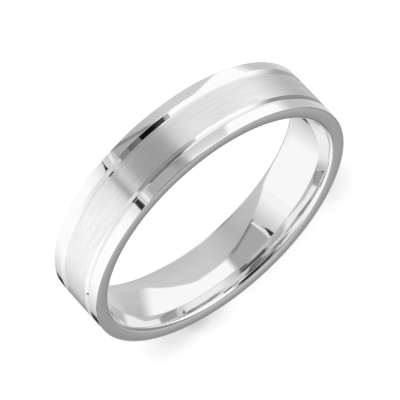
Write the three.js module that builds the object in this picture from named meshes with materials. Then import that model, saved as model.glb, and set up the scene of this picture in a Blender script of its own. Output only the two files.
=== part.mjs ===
// Wedding band in white precious metal: two polished rails and a brushed centre ring, carried by a
// comfort-fit sleeve. Millimetres. The ring's axis lies along Y, the band stands on its rim with +Z up,
// and the origin is the centre of the finger hole.
import * as THREE from "three";

// Driving dimensions
const BAND_WIDTH = 5.05; // along the finger, from side face to side face
const OUTER_RADIUS = 11.55; // to the brushed surface
const BORE_RADIUS = 10.08; // the tightest place of the finger hole, at mid-width
const SLEEVE_OUTER_RADIUS = 10.8; // the seat that the three outer rings are fitted on
const SIDE_FACE_INNER_RADIUS = 10.6; // where the flat side face starts
const INNER_EDGE_ROUND = 0.32; // rounding between the side face and the finger hole

const GROOVE_OFFSET = 1.38; // from mid-width to the bottom of each V groove
const GROOVE_DEPTH = 0.2;
const CENTRE_BEVEL_WIDTH = 0.22; // the wall of the groove on the brushed ring
const RAIL_BEVEL_WIDTH = 0.33; // the wall of the groove on the rail

const RAIL_CROWN_TILT = THREE.MathUtils.degToRad(2); // slope of each rail's gentle crown at its edges
const OUTER_CORNER_ROUND = 0.05;

const SEGMENTS = 80; // facets round the ring
const BORE_STEPS = 12; // points along half of the comfort-fit curve
const CROWN_STEPS = 4;
const CORNER_STEPS = 3;
const INNER_ROUND_STEPS = 4;

const HALF_WIDTH = BAND_WIDTH / 2;
const RAIL_START = GROOVE_OFFSET + RAIL_BEVEL_WIDTH;
const CENTRE_HALF_WIDTH = GROOVE_OFFSET - CENTRE_BEVEL_WIDTH;
const GROOVE_FLOOR_RADIUS = OUTER_RADIUS - GROOVE_DEPTH;

const polished = { color: 0xdedede, roughness: 0.06, metalness: 1 };
const brushed = { color: 0xcfcfcf, roughness: 0.35, metalness: 1 };

// Points of an arc in the section plane. Vector2 holds (distance from the axis, place along the band),
// and the angle is counted from the radial direction towards the side face.
function arc(centreRadius, centreAlong, radius, from, to, steps) {
  return Array.from({ length: steps + 1 }, (_, i) => {
    const angle = from + ((to - from) * i) / steps;
    return new THREE.Vector2(
      centreRadius + radius * Math.cos(angle),
      centreAlong + radius * Math.sin(angle),
    );
  });
}

// The same stretch of section on the other half of the band, in the opposite order.
function mirrored(points) {
  return points.map((p) => new THREE.Vector2(p.x, -p.y)).reverse();
}

// One closed ring of metal, turned from a section whose points run from low Y to high Y outside
// and back inside.
function turned(name, section, finish) {
  const ring = new THREE.Mesh(
    new THREE.LatheGeometry([...section, section[0].clone()], SEGMENTS),
    new THREE.MeshStandardMaterial(finish),
  );
  ring.name = name;
  return ring;
}

// Half of the finger hole's curve, from the side face to mid-width. The long comfort-fit arc is tangent
// to the rounded inner edge, which fixes its radius.
function comfortFitCurve() {
  const rise = SIDE_FACE_INNER_RADIUS - BORE_RADIUS;
  const reach = HALF_WIDTH - INNER_EDGE_ROUND;
  const domeRadius =
    (rise ** 2 + reach ** 2 - INNER_EDGE_ROUND ** 2) /
    (2 * (rise - INNER_EDGE_ROUND));
  const joinAngle = Math.asin(reach / (domeRadius - INNER_EDGE_ROUND));
  const edge = arc(
    SIDE_FACE_INNER_RADIUS,
    reach,
    INNER_EDGE_ROUND,
    Math.PI / 2,
    Math.PI - joinAngle,
    INNER_ROUND_STEPS,
  );
  const dome = arc(
    BORE_RADIUS + domeRadius,
    0,
    domeRadius,
    Math.PI - joinAngle,
    Math.PI,
    BORE_STEPS,
  );
  return [...edge, ...dome.slice(1)];
}

function comfortFitSleeve() {
  const half = comfortFitCurve();
  const curve = [...half, ...mirrored(half).slice(1)];
  const seat = [-HALF_WIDTH, -GROOVE_OFFSET, GROOVE_OFFSET, HALF_WIDTH].map(
    (along) => new THREE.Vector2(SLEEVE_OUTER_RADIUS, along),
  );
  return turned("comfort_fit_sleeve", [...seat, ...curve], polished);
}

// The brushed ring's edges are bevelled: each bevel is one wall of a groove.
function brushedCentreRing() {
  const bevel = [
    new THREE.Vector2(OUTER_RADIUS, CENTRE_HALF_WIDTH),
    new THREE.Vector2(GROOVE_FLOOR_RADIUS, GROOVE_OFFSET),
    new THREE.Vector2(SLEEVE_OUTER_RADIUS, GROOVE_OFFSET),
  ];
  return turned("brushed_centre_ring", [...mirrored(bevel), ...bevel], brushed);
}

// The section of the rail on the +Y side: groove wall, crowned top, rounded corner, flat side face.
function railSection() {
  const slope = Math.sin(RAIL_CROWN_TILT);
  const crownEnd = HALF_WIDTH - OUTER_CORNER_ROUND * (1 - slope);
  const crownRadius = (crownEnd - RAIL_START) / (2 * slope);
  const crown = arc(
    OUTER_RADIUS - crownRadius,
    (RAIL_START + crownEnd) / 2,
    crownRadius,
    -RAIL_CROWN_TILT,
    RAIL_CROWN_TILT,
    CROWN_STEPS,
  );
  const drop =
    (crownRadius - OUTER_CORNER_ROUND) * (1 - Math.cos(RAIL_CROWN_TILT));
  const corner = arc(
    OUTER_RADIUS - OUTER_CORNER_ROUND - drop,
    HALF_WIDTH - OUTER_CORNER_ROUND,
    OUTER_CORNER_ROUND,
    RAIL_CROWN_TILT,
    Math.PI / 2,
    CORNER_STEPS,
  );
  return [
    new THREE.Vector2(SLEEVE_OUTER_RADIUS, GROOVE_OFFSET),
    new THREE.Vector2(GROOVE_FLOOR_RADIUS, GROOVE_OFFSET),
    ...crown,
    ...corner.slice(1),
    new THREE.Vector2(SLEEVE_OUTER_RADIUS, HALF_WIDTH),
  ];
}

const band = new THREE.Group();
band.add(
  comfortFitSleeve(),
  brushedCentreRing(),
  turned("front_polished_rail", mirrored(railSection()), polished),
  turned("back_polished_rail", railSection(), polished),
);

export default band;
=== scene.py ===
"""Wedding band in white gold: two polished rails, a brushed centre ring and a comfort-fit sleeve.

Metres, unless a comment says millimetres. The ring's axis is Y, its front side face looks along -Y, and
it stands on its rim.
"""
import math

import bpy
from mathutils import Matrix, Vector


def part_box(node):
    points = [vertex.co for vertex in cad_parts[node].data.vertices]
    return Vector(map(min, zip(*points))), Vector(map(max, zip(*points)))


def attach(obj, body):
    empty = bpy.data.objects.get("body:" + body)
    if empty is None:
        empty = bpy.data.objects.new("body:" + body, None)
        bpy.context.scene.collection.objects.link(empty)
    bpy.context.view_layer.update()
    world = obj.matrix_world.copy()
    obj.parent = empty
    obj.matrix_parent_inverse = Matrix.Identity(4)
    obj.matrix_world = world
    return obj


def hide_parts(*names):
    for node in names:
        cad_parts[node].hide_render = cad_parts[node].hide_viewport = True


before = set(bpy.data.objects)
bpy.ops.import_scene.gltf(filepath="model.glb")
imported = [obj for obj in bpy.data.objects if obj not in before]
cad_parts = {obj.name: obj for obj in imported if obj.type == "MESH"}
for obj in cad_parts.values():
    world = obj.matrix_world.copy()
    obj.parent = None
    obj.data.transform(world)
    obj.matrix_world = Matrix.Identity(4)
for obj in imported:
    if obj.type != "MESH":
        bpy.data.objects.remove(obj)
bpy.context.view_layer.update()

MM = 0.001

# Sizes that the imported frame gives
OUTER_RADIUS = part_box("brushed_centre_ring")[1].z
GROOVE_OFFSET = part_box("brushed_centre_ring")[1].y
SEAT_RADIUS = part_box("comfort_fit_sleeve")[1].z
HALF_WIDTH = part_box("comfort_fit_sleeve")[1].y

# Section of the band
BORE_RADIUS = 10.08 * MM
SIDE_FACE_INNER_RADIUS = 10.60 * MM
INNER_EDGE_ROUND = 0.32 * MM
GROOVE_DEPTH = 0.2 * MM
CENTRE_BEVEL_ANGLE = math.radians(42.7)
CENTRE_SHOULDER_ROUND = 0.04 * MM
RAIL_SHOULDER_ROUND = 0.1 * MM
# Each rail: where the groove's shoulder runs into the crown, and how far the crown leans outwards
# there and at the outer corner
BACK_RAIL = (1.73 * MM, math.radians(-2.0), math.radians(2.0))
FRONT_RAIL = (1.67 * MM, math.radians(1.45), math.radians(1.85))
OUTER_CORNER_ROUND = 0.05 * MM
SIDE_CROWN_TILT = math.radians(4.0)

# Fineness of the meshes: facets round the ring, and points along each stretch of the section
TURN_STEPS = 480
CROWN_STEPS = 24
CORNER_STEPS = 14
RAIL_SHOULDER_STEPS = 12
RAIL_SIDE_STEPS = 20
SLEEVE_SIDE_STEPS = 10
INNER_EDGE_STEPS = 22
BORE_STEPS = 28
CENTRE_SHOULDER_STEPS = 8
SHARP_ANGLE = math.radians(25)  # edges that turn by more than this stay sharp


# ---------------------------------------------------------------- section curves

def arc(centre, radius, start, end, steps):
    """Points (distance from the axis, place along it) of an arc; angles count from the radial direction."""
    return [
        (
            centre[0] + radius * math.cos(start + (end - start) * i / steps),
            centre[1] + radius * math.sin(start + (end - start) * i / steps),
        )
        for i in range(steps + 1)
    ]


def mirrored(points):
    """The same stretch on the other half of the band, in the opposite order."""
    return [(radius, -along) for radius, along in reversed(points)]


def rail_top(rail):
    """The rail's crown and its outer corner, up to where the side face starts."""
    start, first, last = rail
    crown_end = HALF_WIDTH - OUTER_CORNER_ROUND * (1 - math.sin(last))
    radius = (crown_end - start) / (math.sin(last) - math.sin(first))
    highest = radius * math.cos(max(first, 0))
    centre = (OUTER_RADIUS - highest, start - radius * math.sin(first))
    crown = arc(centre, radius, first, last, CROWN_STEPS)
    corner_centre = (
        crown[-1][0] - OUTER_CORNER_ROUND * math.cos(last),
        crown[-1][1] - OUTER_CORNER_ROUND * math.sin(last),
    )
    corner_end = math.pi / 2 - SIDE_CROWN_TILT
    corner = arc(corner_centre, OUTER_CORNER_ROUND, last, corner_end, CORNER_STEPS)
    return crown, corner


def side_face(rail):
    """The slightly crowned side face: where it starts, and a function for any stretch of it."""
    outer = rail_top(rail)[1][-1][0]
    middle = (outer + SIDE_FACE_INNER_RADIUS) / 2
    radius = (outer - middle) / math.sin(SIDE_CROWN_TILT)

    def stretch(start, end, steps):
        angles = [math.acos((place - middle) / radius) for place in (start, end)]
        return arc((middle, HALF_WIDTH - radius), radius, *angles, steps)

    return outer, stretch


def rail_shoulder(crown_start, first):
    """The groove's wall on the rail, from the bottom of the V to the rounded shoulder."""
    centre = (
        crown_start[0] - RAIL_SHOULDER_ROUND * math.cos(first),
        crown_start[1] - RAIL_SHOULDER_ROUND * math.sin(first),
    )
    bottom = (OUTER_RADIUS - GROOVE_DEPTH, GROOVE_OFFSET)
    rise, run = centre[0] - bottom[0], centre[1] - bottom[1]
    # The wall is the tangent from the bottom of the V to the shoulder's circle.
    slope = math.atan2(rise, run) + math.asin(RAIL_SHOULDER_ROUND / math.hypot(rise, run))
    return [bottom] + arc(centre, RAIL_SHOULDER_ROUND, -slope, first, RAIL_SHOULDER_STEPS)


def rail_section(rail):
    """A rail's section on the +Y side of the band."""
    crown, corner = rail_top(rail)
    outer, stretch = side_face(rail)
    return (
        [(SEAT_RADIUS, GROOVE_OFFSET)]
        + rail_shoulder(crown[0], rail[1])
        + crown[1:]
        + corner[1:]
        + stretch(outer, SEAT_RADIUS, RAIL_SIDE_STEPS)[1:]
    )


def centre_section():
    """The brushed ring: flat outside, with a rounded shoulder and a bevel at each edge."""
    slope = CENTRE_BEVEL_ANGLE
    shoulder = CENTRE_SHOULDER_ROUND
    rise = GROOVE_DEPTH - shoulder * (1 - math.cos(slope))
    centre = (
        OUTER_RADIUS - shoulder,
        GROOVE_OFFSET - rise / math.tan(slope) - shoulder * math.sin(slope),
    )
    bevel = [(OUTER_RADIUS - GROOVE_DEPTH, GROOVE_OFFSET), (SEAT_RADIUS, GROOVE_OFFSET)]
    half = arc(centre, shoulder, 0, slope, CENTRE_SHOULDER_STEPS) + bevel
    return mirrored(half) + half


def bore_half(rail):
    """The sleeve's part of the side face, its rounded edge and the finger hole's dome to mid-width."""
    stretch = side_face(rail)[1]
    side = stretch(SEAT_RADIUS, SIDE_FACE_INNER_RADIUS, SLEEVE_SIDE_STEPS)
    edge_start = math.pi / 2 + SIDE_CROWN_TILT
    edge_centre = (
        side[-1][0] - INNER_EDGE_ROUND * math.cos(edge_start),
        side[-1][1] - INNER_EDGE_ROUND * math.sin(edge_start),
    )
    rise, reach = edge_centre[0] - BORE_RADIUS, edge_centre[1]
    dome = (rise**2 + reach**2 - INNER_EDGE_ROUND**2) / (2 * (rise - INNER_EDGE_ROUND))
    join = math.asin(reach / (dome - INNER_EDGE_ROUND))
    edge = arc(edge_centre, INNER_EDGE_ROUND, edge_start, math.pi - join, INNER_EDGE_STEPS)
    bore = arc((BORE_RADIUS + dome, 0), dome, math.pi - join, math.pi, BORE_STEPS)
    return side + edge[1:] + bore[1:]


def sleeve_section():
    """The whole sleeve; the line that closes the section is the seat of the three outer rings."""
    return bore_half(BACK_RAIL) + mirrored(bore_half(FRONT_RAIL))[1:]


# ---------------------------------------------------------------- pieces

def turned(name, section, material, node):
    """Turns a closed section about the ring's axis into one closed ring of metal."""
    count = len(section)
    vertices = []
    for i in range(TURN_STEPS):
        turn = 2 * math.pi * i / TURN_STEPS
        across, up = math.sin(turn), math.cos(turn)
        vertices += [(radius * across, along, radius * up) for radius, along in section]
    faces = []
    for i in range(TURN_STEPS):
        here, there = i * count, (i + 1) % TURN_STEPS * count
        for j in range(count):
            k = (j + 1) % count
            faces.append((here + j, there + j, there + k, here + k))
    mesh = bpy.data.meshes.new(name)
    mesh.from_pydata(vertices, [], faces)
    mesh.polygons.foreach_set("use_smooth", [True] * len(faces))
    mesh.set_sharp_from_angle(angle=SHARP_ANGLE)
    mesh.materials.append(material)
    piece = bpy.data.objects.new(name, mesh)
    bpy.context.scene.collection.objects.link(piece)
    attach(piece, "root")
    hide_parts(node)


# ---------------------------------------------------------------- materials

GROOVE_SHADE = 0.86  # painted shade: how much light the bottom of a groove keeps
GROOVE_SHADE_HEIGHT = 0.06 * MM  # it reaches this far up the groove's walls
GROOVE_SHADE_END = (0.3 * MM, 0.4 * MM)  # and it fades out between these distances past the groove
GRAIN_DEPTH = 0.002 * MM  # of the turning lines and the brush marks
# Range of the brushed ring's streaks, from the dull and dark to the bright
STREAKS = (0.55, 1.05)


def new_material(name):
    """A new material with its node tree and its shader."""
    material = bpy.data.materials.new(name)
    material.use_nodes = True
    tree = material.node_tree
    return material, tree, tree.nodes["Principled BSDF"]


def along_the_turn(tree, around, across):
    """Object coordinates stretched so that a noise runs in streaks round the ring."""
    place = tree.nodes.new("ShaderNodeTexCoord")
    stretch = tree.nodes.new("ShaderNodeMapping")
    stretch.inputs["Scale"].default_value = (around, across, around)
    tree.links.new(place.outputs["Object"], stretch.inputs["Vector"])
    return stretch.outputs["Vector"]


def noise(tree, vector, detail):
    made = tree.nodes.new("ShaderNodeTexNoise")
    made.inputs["Scale"].default_value = 1
    made.inputs["Detail"].default_value = detail
    tree.links.new(vector, made.inputs["Vector"])
    return made.outputs["Fac"]


def remap(tree, value, low, high, new_low, new_high, smooth=False):
    """Moves a value from one range to another and holds it there; smooth eases both ends."""
    made = tree.nodes.new("ShaderNodeMapRange")
    if smooth:
        made.interpolation_type = "SMOOTHSTEP"
    for socket, number in zip(("From Min", "From Max", "To Min", "To Max"), (low, high, new_low, new_high)):
        made.inputs[socket].default_value = number
    tree.links.new(value, made.inputs["Value"])
    return made.outputs["Result"]


def blend_colours(tree, factor, first, second):
    made = tree.nodes.new("ShaderNodeMix")
    made.data_type = "RGBA"
    made.inputs["A"].default_value = (*first, 1)
    made.inputs["B"].default_value = (*second, 1)
    tree.links.new(factor, made.inputs["Factor"])
    return made.outputs["Result"]


def maths(tree, operation, *values):
    """One step of arithmetic on sockets and plain numbers."""
    node = tree.nodes.new("ShaderNodeMath")
    node.operation = operation
    for socket, value in zip(node.inputs, values):
        if isinstance(value, (int, float)):
            socket.default_value = value
        else:
            tree.links.new(value, socket)
    return node.outputs[0]


def coordinates(tree, space):
    """The three coordinates of a texture space."""
    place = tree.nodes.new("ShaderNodeTexCoord")
    split = tree.nodes.new("ShaderNodeSeparateXYZ")
    tree.links.new(place.outputs[space], split.inputs[0])
    return split.outputs


def distances(tree):
    """Distance from the ring's axis and distance from mid-width."""
    x, y, z = coordinates(tree, "Object")
    across, up = maths(tree, "MULTIPLY", x, x), maths(tree, "MULTIPLY", z, z)
    radius = maths(tree, "SQRT", maths(tree, "ADD", across, up))
    return radius, maths(tree, "ABSOLUTE", y)


def groove_shade(tree, colour):
    """Darkens a colour in the very bottom of the grooves: painted shade in the recess."""
    radius, along = distances(tree)
    bottom = OUTER_RADIUS - GROOVE_DEPTH
    height = remap(tree, radius, bottom, bottom + GROOVE_SHADE_HEIGHT, GROOVE_SHADE, 1)
    # The side face reaches lower than the grooves and keeps its full colour.
    fade_start, fade_end = GROOVE_SHADE_END
    beside = remap(tree, along, GROOVE_OFFSET + fade_start, GROOVE_OFFSET + fade_end, 0, 1)
    made = tree.nodes.new("ShaderNodeVectorMath")
    made.operation = "SCALE"
    tree.links.new(colour, made.inputs[0])
    tree.links.new(maths(tree, "MAXIMUM", height, beside), made.inputs["Scale"])
    return made.outputs["Vector"]


def bump(tree, height, strength):
    made = tree.nodes.new("ShaderNodeBump")
    made.inputs["Strength"].default_value = strength
    made.inputs["Distance"].default_value = GRAIN_DEPTH
    tree.links.new(height, made.inputs["Height"])
    return made.outputs["Normal"]


def polished_metal(name, dark, light, grooved):
    """Faint turning lines in the gloss and faint clouds in the colour."""
    material, tree, shader = new_material(name)
    lines = noise(tree, along_the_turn(tree, 260, 9000), detail=3)
    clouds = noise(tree, along_the_turn(tree, 300, 300), detail=2)
    shader.inputs["Metallic"].default_value = 1
    colour = blend_colours(tree, clouds, dark, light)
    tree.links.new(groove_shade(tree, colour) if grooved else colour, shader.inputs["Base Color"])
    tree.links.new(remap(tree, lines, 0.3, 0.7, 0.03, 0.07), shader.inputs["Roughness"])
    tree.links.new(bump(tree, lines, 0.1), shader.inputs["Normal"])
    return material


def brushed_metal():
    """Fine brush marks round the ring; the bevels at its edges are bright cut and stay clear of them."""
    material, tree, shader = new_material("brushed_white_gold")
    fine = noise(tree, along_the_turn(tree, 700, 16000), detail=4)
    broad = noise(tree, along_the_turn(tree, 260, 5200), detail=2)
    streaks = maths(tree, "MULTIPLY_ADD", broad, 0.6, fine)
    bevel_start = GROOVE_OFFSET - GROOVE_DEPTH / math.tan(CENTRE_BEVEL_ANGLE)
    bevel = remap(tree, distances(tree)[1], bevel_start, bevel_start + 0.02 * MM, 0, 1)
    shader.inputs["Metallic"].default_value = 1
    shader.inputs["Anisotropic"].default_value = 1
    shader.inputs["Anisotropic Rotation"].default_value = 0.25
    tangent = tree.nodes.new("ShaderNodeTangent")
    tangent.direction_type = "RADIAL"
    tangent.axis = "Y"
    tree.links.new(tangent.outputs["Tangent"], shader.inputs["Tangent"])
    factor = remap(tree, streaks, *STREAKS, 0, 1)
    colour = blend_colours(tree, factor, (0.86, 0.86, 0.86), (0.98, 0.98, 0.98))
    tree.links.new(groove_shade(tree, colour), shader.inputs["Base Color"])
    brushed = remap(tree, streaks, *STREAKS, 0.33, 0.27)
    finish = tree.nodes.new("ShaderNodeMix")
    tree.links.new(bevel, finish.inputs["Factor"])
    tree.links.new(brushed, finish.inputs["A"])
    finish.inputs["B"].default_value = 0.05
    tree.links.new(finish.outputs["Result"], shader.inputs["Roughness"])
    tree.links.new(bump(tree, streaks, 0.25), shader.inputs["Normal"])
    return material


# ---------------------------------------------------------------- studio

# Display levels, 0 to 255, as the polished metal shows them
WHITE = 249
OPENING_BLACK = 14
PAPER = 300  # past display white, so that the background stays clean

POLISHED_SHARE = 0.9  # how much of the light the polished metal gives back


def tone(level):
    """The light of a card that the polished metal shows at this display level (the sRGB curve)."""
    share = level / 255
    linear = share / 12.92 if share <= 0.04045 else ((share + 0.055) / 1.055) ** 2.4
    return linear / POLISHED_SHARE


class Sky:
    """The world as a pile of cards, each laid over the ones before it. A card's place is a direction:
    'turn' goes round the ring's axis from straight up, and 'lean' is how far it points to the front, both
    in degrees. A mask is 1 on the card and 0 off it."""

    def __init__(self, tree):
        self.tree = tree
        x, y, z = coordinates(tree, "Generated")
        degrees = 180 / math.pi
        self.turn = self.maths("MULTIPLY", self.maths("ARCTAN2", x, z), degrees)
        self.lean = self.maths("MULTIPLY", self.maths("ARCSINE", y), -degrees)
        self.aside = self.maths("ABSOLUTE", self.turn)
        self.low = self.below(self.lean, 15, 6)
        self.high = self.above(self.lean, 25, 6)
        self.light = self.maths("ADD", 0.0, tone(WHITE))

    def maths(self, operation, *values):
        return maths(self.tree, operation, *values)

    def above(self, value, edge, soft):
        """1 where value is over edge, 0 under it, with a soft step in between."""
        return remap(self.tree, self.maths("SUBTRACT", value, edge), -soft, soft, 0, 1, smooth=True)

    def below(self, value, edge, soft):
        return self.maths("SUBTRACT", 1.0, self.above(value, edge, soft))

    def between(self, value, low, high, soft):
        return self.both(self.above(value, low, soft), self.below(value, high, soft))

    def both(self, *masks):
        result = masks[0]
        for mask in masks[1:]:
            result = self.maths("MULTIPLY", result, mask)
        return result

    def line(self, at_turn, at_lean, slope):
        """Lean of a straight card edge at each turn."""
        return self.maths("MULTIPLY_ADD", self.maths("SUBTRACT", self.turn, at_turn), slope, at_lean)

    def lay_light(self, light, *masks):
        """Lays a card where all its masks meet. Its light is a number or a socket."""
        mask = self.both(*masks)
        kept = self.maths("MULTIPLY", self.light, self.maths("SUBTRACT", 1.0, mask))
        self.light = self.maths("ADD", kept, self.maths("MULTIPLY", mask, light))

    def lay(self, level, *masks):
        """Lays a card of one display level."""
        self.lay_light(tone(level), *masks)

    def fade(self, levels, value, span, *masks):
        """Lays a card whose light runs evenly between two display levels while value crosses the span."""
        self.lay_light(remap(self.tree, value, *span, tone(levels[0]), tone(levels[1])), *masks)


def far_ends(sky):
    """The two soft boxes get dimmer at their far ends, and the left one towards the gap too."""
    turn, lean = sky.turn, sky.lean
    slant = sky.maths("MINIMUM", sky.maths("MAXIMUM", sky.maths("MULTIPLY_ADD", lean, -2.4, -83), 0), 28)
    left = sky.maths("SUBTRACT", turn, slant)
    sky.fade((188, WHITE), left, (-156, -112), sky.low, sky.below(left, -108, 3))
    sky.lay(182, sky.high, sky.above(sky.aside, 152, 10))

    low_edge = sky.maths("MULTIPLY_ADD", lean, 0.6, 118.4)
    high_edge = sky.maths("MULTIPLY_ADD", lean, -0.8, 120.4)
    right_edge = sky.maths("MAXIMUM", sky.maths("MINIMUM", low_edge, high_edge), 98)
    beyond = sky.maths("SUBTRACT", turn, right_edge)
    sky.fade((194, 142), lean, (-26, 14), sky.above(beyond, 0, 10))
    sky.lay(207, sky.low, sky.above(beyond, 36, 10))

    sky.fade((244, 198), turn, (-46, -26), sky.low, sky.between(turn, -54, -21, 0.5))
    sky.fade((WHITE, 206), turn, (-90, -30), sky.high, sky.between(turn, -90, -21, 0.5))


def gap_between_boxes(sky):
    """A dim gap overhead, dimmer towards the front, with a lighter strip along its left edge."""
    turn, lean = sky.turn, sky.lean
    gap = sky.both(sky.above(turn, -21.5, 1), sky.below(turn, 15.4, 3.5))
    sky.lay(168, gap)
    sky.lay(122, gap, sky.above(lean, 4, 4))
    sky.lay(200, sky.between(lean, -1, 29, 1.5), sky.between(turn, -26, -16.5, 0.7))


def backdrop(sky):
    """A grey backdrop behind the band, with a shaded upper edge. Straight back it has a dark patch and a
    white one, which only the brushed ring shows."""
    turn, lean = sky.turn, sky.lean
    top = sky.maths("MINIMUM", sky.line(0, -26.0, 0.29), sky.line(50, -23.2, -0.24))
    top = sky.maths("MINIMUM", top, -22.7)
    top = sky.maths("MAXIMUM", top, sky.line(-60, -43.2, 0.06))
    grey = sky.below(lean, top, 1.0)
    sky.fade((198, 181), turn, (-50, -5), grey)
    sky.fade((178, 203), turn, (-5, 30), grey, sky.above(turn, -5, 2))
    sky.fade((192, 203), lean, (-46, -32), grey, sky.above(turn, 30, 14))

    straight_back = sky.below(lean, -64, 3)
    sky.lay(WHITE, straight_back, sky.above(turn, 22, 6))
    sky.lay(40, straight_back, sky.between(turn, -34, 20, 4))

    edge = sky.maths("MINIMUM", sky.line(0, -25.3, 0.27), sky.line(8, -23.7, 0.12))
    past_edge = sky.maths("SUBTRACT", lean, edge)
    shade = sky.both(sky.above(past_edge, -1.2, 0.6), sky.below(past_edge, 1.1, 1.0))
    sky.lay(128, shade, sky.above(turn, -24, 3), sky.below(turn, 11, 5))


def opening_in_front(sky):
    """The dark opening that the picture is taken through, its grey sides, and the dim room that lies
    farther to the front."""
    turn, lean = sky.turn, sky.lean
    opening = sky.between(lean, 12, 52, 2)
    sky.fade((OPENING_BLACK, 74), turn, (12, 24), opening, sky.between(turn, -0.5, 24, 0.6))
    sky.fade((92, 112), turn, (-12, -2), opening, sky.between(turn, -12.5, -2, 0.6))
    sky.lay(132, opening, sky.between(turn, -21, -12.5, 2.5))
    sky.lay(172, opening, sky.between(turn, 23.5, 28, 0.8))
    sky.lay(OPENING_BLACK, sky.between(lean, 12, 30, 2), sky.between(turn, -16, 17, 1))

    sky.fade((146, 186), turn, (18, 36), sky.above(lean, 52, 2), sky.between(turn, -36, 38, 2))
    sky.lay(158, sky.above(lean, 66, 5))


def low_front(sky):
    """The floor in front of the band, brighter farther out and to the right. The side face shows it."""
    outwards = sky.maths("SUBTRACT", sky.lean, 25)
    near = sky.maths("MULTIPLY_ADD", outwards, 0.0125, tone(154))
    far = sky.maths("MULTIPLY_ADD", outwards, 0.0235, tone(154))
    to_the_right = sky.maths("SINE", sky.maths("MULTIPLY", sky.turn, math.pi / 180))
    rising = sky.maths("ADD", sky.maths("MAXIMUM", far, near), sky.maths("MULTIPLY", to_the_right, 0.3))
    light = sky.maths("MINIMUM", rising, tone(205))
    sky.lay_light(light, sky.above(sky.aside, 158, 8), sky.above(sky.lean, 6, 4))


def under_the_band(sky):
    """The dark floor under the band with a darker spot, which double reflections in the hole show."""
    turn, lean = sky.turn, sky.lean
    sky.lay(80, sky.above(sky.aside, 152, 6), sky.between(lean, -20, -6, 3))
    sky.lay(60, sky.between(turn, -169, -153, 2), sky.between(lean, -28, -21.5, 1))


def studio_light():
    """Two big soft boxes with a gap between them and what stands around them, painted on the world."""
    world = bpy.data.worlds.new("studio")
    bpy.context.scene.world = world
    world.use_nodes = True
    tree = world.node_tree
    tree.nodes.clear()
    sky = Sky(tree)
    far_ends(sky)
    gap_between_boxes(sky)
    backdrop(sky)
    opening_in_front(sky)
    low_front(sky)
    under_the_band(sky)
    # The camera sees plain white paper instead.
    path = tree.nodes.new("ShaderNodeLightPath")
    sky.lay(PAPER, path.outputs["Is Camera Ray"])
    background = tree.nodes.new("ShaderNodeBackground")
    background.inputs["Color"].default_value = (1, 1, 1, 1)
    tree.links.new(sky.light, background.inputs["Strength"])
    output = tree.nodes.new("ShaderNodeOutputWorld")
    tree.links.new(background.outputs[0], output.inputs["Surface"])


# Near cards: outline as (turn, lean) in degrees, distance from the hole's centre in millimetres, level
NEAR_CARDS = {
    "black_wedge": (
        [(-30.8, 12), (-30.5, -13), (-29.7, -20.5), (-28.6, -23), (-28.2, -26.5), (-27.9, -26.5),
         (-27.7, -21), (-27.1, -17), (-26.2, -14), (-26.2, 12)],
        45, 45,
    ),
    "white_edge": (
        [(-25.9, 12), (-25.9, -18), (-23.6, -34), (-21.6, -34), (-23.0, -18), (-23.0, 12)],
        100, 229,
    ),
    "camera_hood": ([(-19, 50.5), (-26, 72), (40, 72), (31, 50.5)], 45, 14),
    "camera_body": ([(-20.5, 9), (-20.5, 17), (21, 17), (21, 9)], 45, 22),
    "left_flag": ([(-120, 14), (-120, 30), (-103, 30), (-103, 14)], 25, 40),
    "left_screen": ([(-138, 16), (-138, 28), (-120, 30), (-120, 14)], 25, 140),
}


def direction(turn, lean):
    """The unit vector that points this way, both angles in degrees."""
    turn, lean = math.radians(turn), math.radians(lean)
    return Vector((
        math.cos(lean) * math.sin(turn),
        -math.sin(lean),
        math.cos(lean) * math.cos(turn),
    ))


def near_card(name, outline, distance, level):
    """A card so near that each part of the band sees it in another direction. Only reflections show it."""
    mesh = bpy.data.meshes.new(name)
    mesh.from_pydata([direction(*corner) * distance * MM for corner in outline], [], [range(len(outline))])
    material = bpy.data.materials.new(name)
    material.use_nodes = True
    tree = material.node_tree
    tree.nodes.clear()
    emission = tree.nodes.new("ShaderNodeEmission")
    emission.inputs["Strength"].default_value = tone(level)
    output = tree.nodes.new("ShaderNodeOutputMaterial")
    tree.links.new(emission.outputs[0], output.inputs["Surface"])
    mesh.materials.append(material)
    made = bpy.data.objects.new(name, mesh)
    bpy.context.scene.collection.objects.link(made)
    made.visible_camera = False
    made.visible_diffuse = False
    made.visible_shadow = False


PAPER_HALF_SIZE = 600 * MM
PAPER_GLOW = 0.52  # lifts the lit paper to white

# Soft shadows painted into the paper's glow: centre and reach in millimetres, and how much glow they take
# away
FLOOR_SHADOWS = (
    ((-9.0, -0.8), 3.0, 0.16),
    ((-7.2, -1.2), 2.6, 0.18),
    ((-5.0, -1.7), 2.4, 0.20),
    ((-6.2, -1.2), 1.7, 0.26),
    ((8.2, -0.6), 3.0, 0.18),
)


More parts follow.
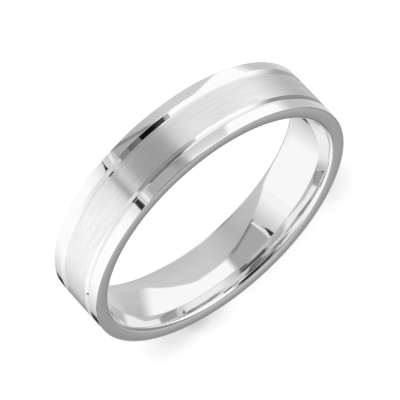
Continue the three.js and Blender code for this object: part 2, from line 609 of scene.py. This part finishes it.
def floor():
    """Pale paper under the ring, with soft shadows painted into its glow. The metal's reflections show the
    studio instead of it.
    """
    mesh = bpy.data.meshes.new("paper_floor")
    half, z = PAPER_HALF_SIZE, -OUTER_RADIUS
    corners = [(-half, -half, z), (half, -half, z), (half, half, z), (-half, half, z)]
    mesh.from_pydata(corners, [], [(0, 1, 2, 3)])
    material, tree, shader = new_material("white_paper")
    shader.inputs["Roughness"].default_value = 0.9
    shader.inputs["Specular IOR Level"].default_value = 0.1
    grain = noise(tree, along_the_turn(tree, 900, 900), detail=2)
    colour = blend_colours(tree, grain, (0.85, 0.85, 0.85), (0.87, 0.87, 0.87))
    tree.links.new(colour, shader.inputs["Base Color"])
    shader.inputs["Emission Color"].default_value = (1, 1, 1, 1)
    place = tree.nodes.new("ShaderNodeTexCoord")
    glow = PAPER_GLOW
    for (x, y), reach, depth in FLOOR_SHADOWS:
        away = tree.nodes.new("ShaderNodeVectorMath")
        away.operation = "DISTANCE"
        away.inputs[1].default_value = (x * MM, y * MM, z)
        tree.links.new(place.outputs["Object"], away.inputs[0])
        shadow = remap(tree, away.outputs["Value"], 0, reach * MM, depth, 0, smooth=True)
        glow = maths(tree, "SUBTRACT", glow, shadow)
    tree.links.new(glow, shader.inputs["Emission Strength"])
    mesh.materials.append(material)
    made = bpy.data.objects.new("paper_floor", mesh)
    bpy.context.scene.collection.objects.link(made)
    made.visible_glossy = False


# ---------------------------------------------------------------- camera

CAMERA_ELEVATION = math.radians(64.62)
CAMERA_ROLL = math.radians(42.75)
CAMERA_DISTANCE = 306.8 * MM
CAMERA_AIM = Vector((0.137, 0.183, 0.087)) * MM
SENSOR_WIDTH = 36.0  # in millimetres, like the lens
LENS = 375.0
CLIP_NEAR = 10 * MM
CLIP_FAR = 10000 * MM


def camera():
    """Looks along +Y and down at the band, rolled so that +Y runs to the upper left of the picture."""
    data = bpy.data.cameras.new("camera")
    data.sensor_width = SENSOR_WIDTH
    data.lens = LENS
    made = bpy.data.objects.new("camera", data)
    bpy.context.scene.collection.objects.link(made)
    back = Vector((0, -math.cos(CAMERA_ELEVATION), math.sin(CAMERA_ELEVATION)))
    look = (-back).to_track_quat("-Z", "Y").to_matrix().to_4x4()
    roll = Matrix.Rotation(-CAMERA_ROLL, 4, "Z")
    made.matrix_world = Matrix.Translation(CAMERA_AIM + back * CAMERA_DISTANCE) @ look @ roll
    data.clip_start = CLIP_NEAR
    data.clip_end = CLIP_FAR
    bpy.context.scene.camera = made


# ---------------------------------------------------------------- the band

bpy.context.scene.view_settings.view_transform = "Standard"
camera()
floor()
studio_light()
for card_name, card_shape in NEAR_CARDS.items():
    near_card(card_name, *card_shape)

rail_finish = polished_metal(
    "polished_white_gold", dark=(0.90, 0.90, 0.90), light=(0.94, 0.94, 0.94), grooved=True
)
# The sleeve's copy is a little darker than the rails': painted shade inside the ring.
shaded_bore_finish = polished_metal(
    "polished_white_gold_bore_painted_shade", dark=(0.87, 0.87, 0.87), light=(0.90, 0.90, 0.90), grooved=False
)
front_section = mirrored(rail_section(FRONT_RAIL))
turned("sleeve", sleeve_section(), shaded_bore_finish, "comfort_fit_sleeve")
turned("centre_ring", centre_section(), brushed_metal(), "brushed_centre_ring")
turned("front_rail", front_section, rail_finish, "front_polished_rail")
turned("back_rail", rail_section(BACK_RAIL), rail_finish, "back_polished_rail")
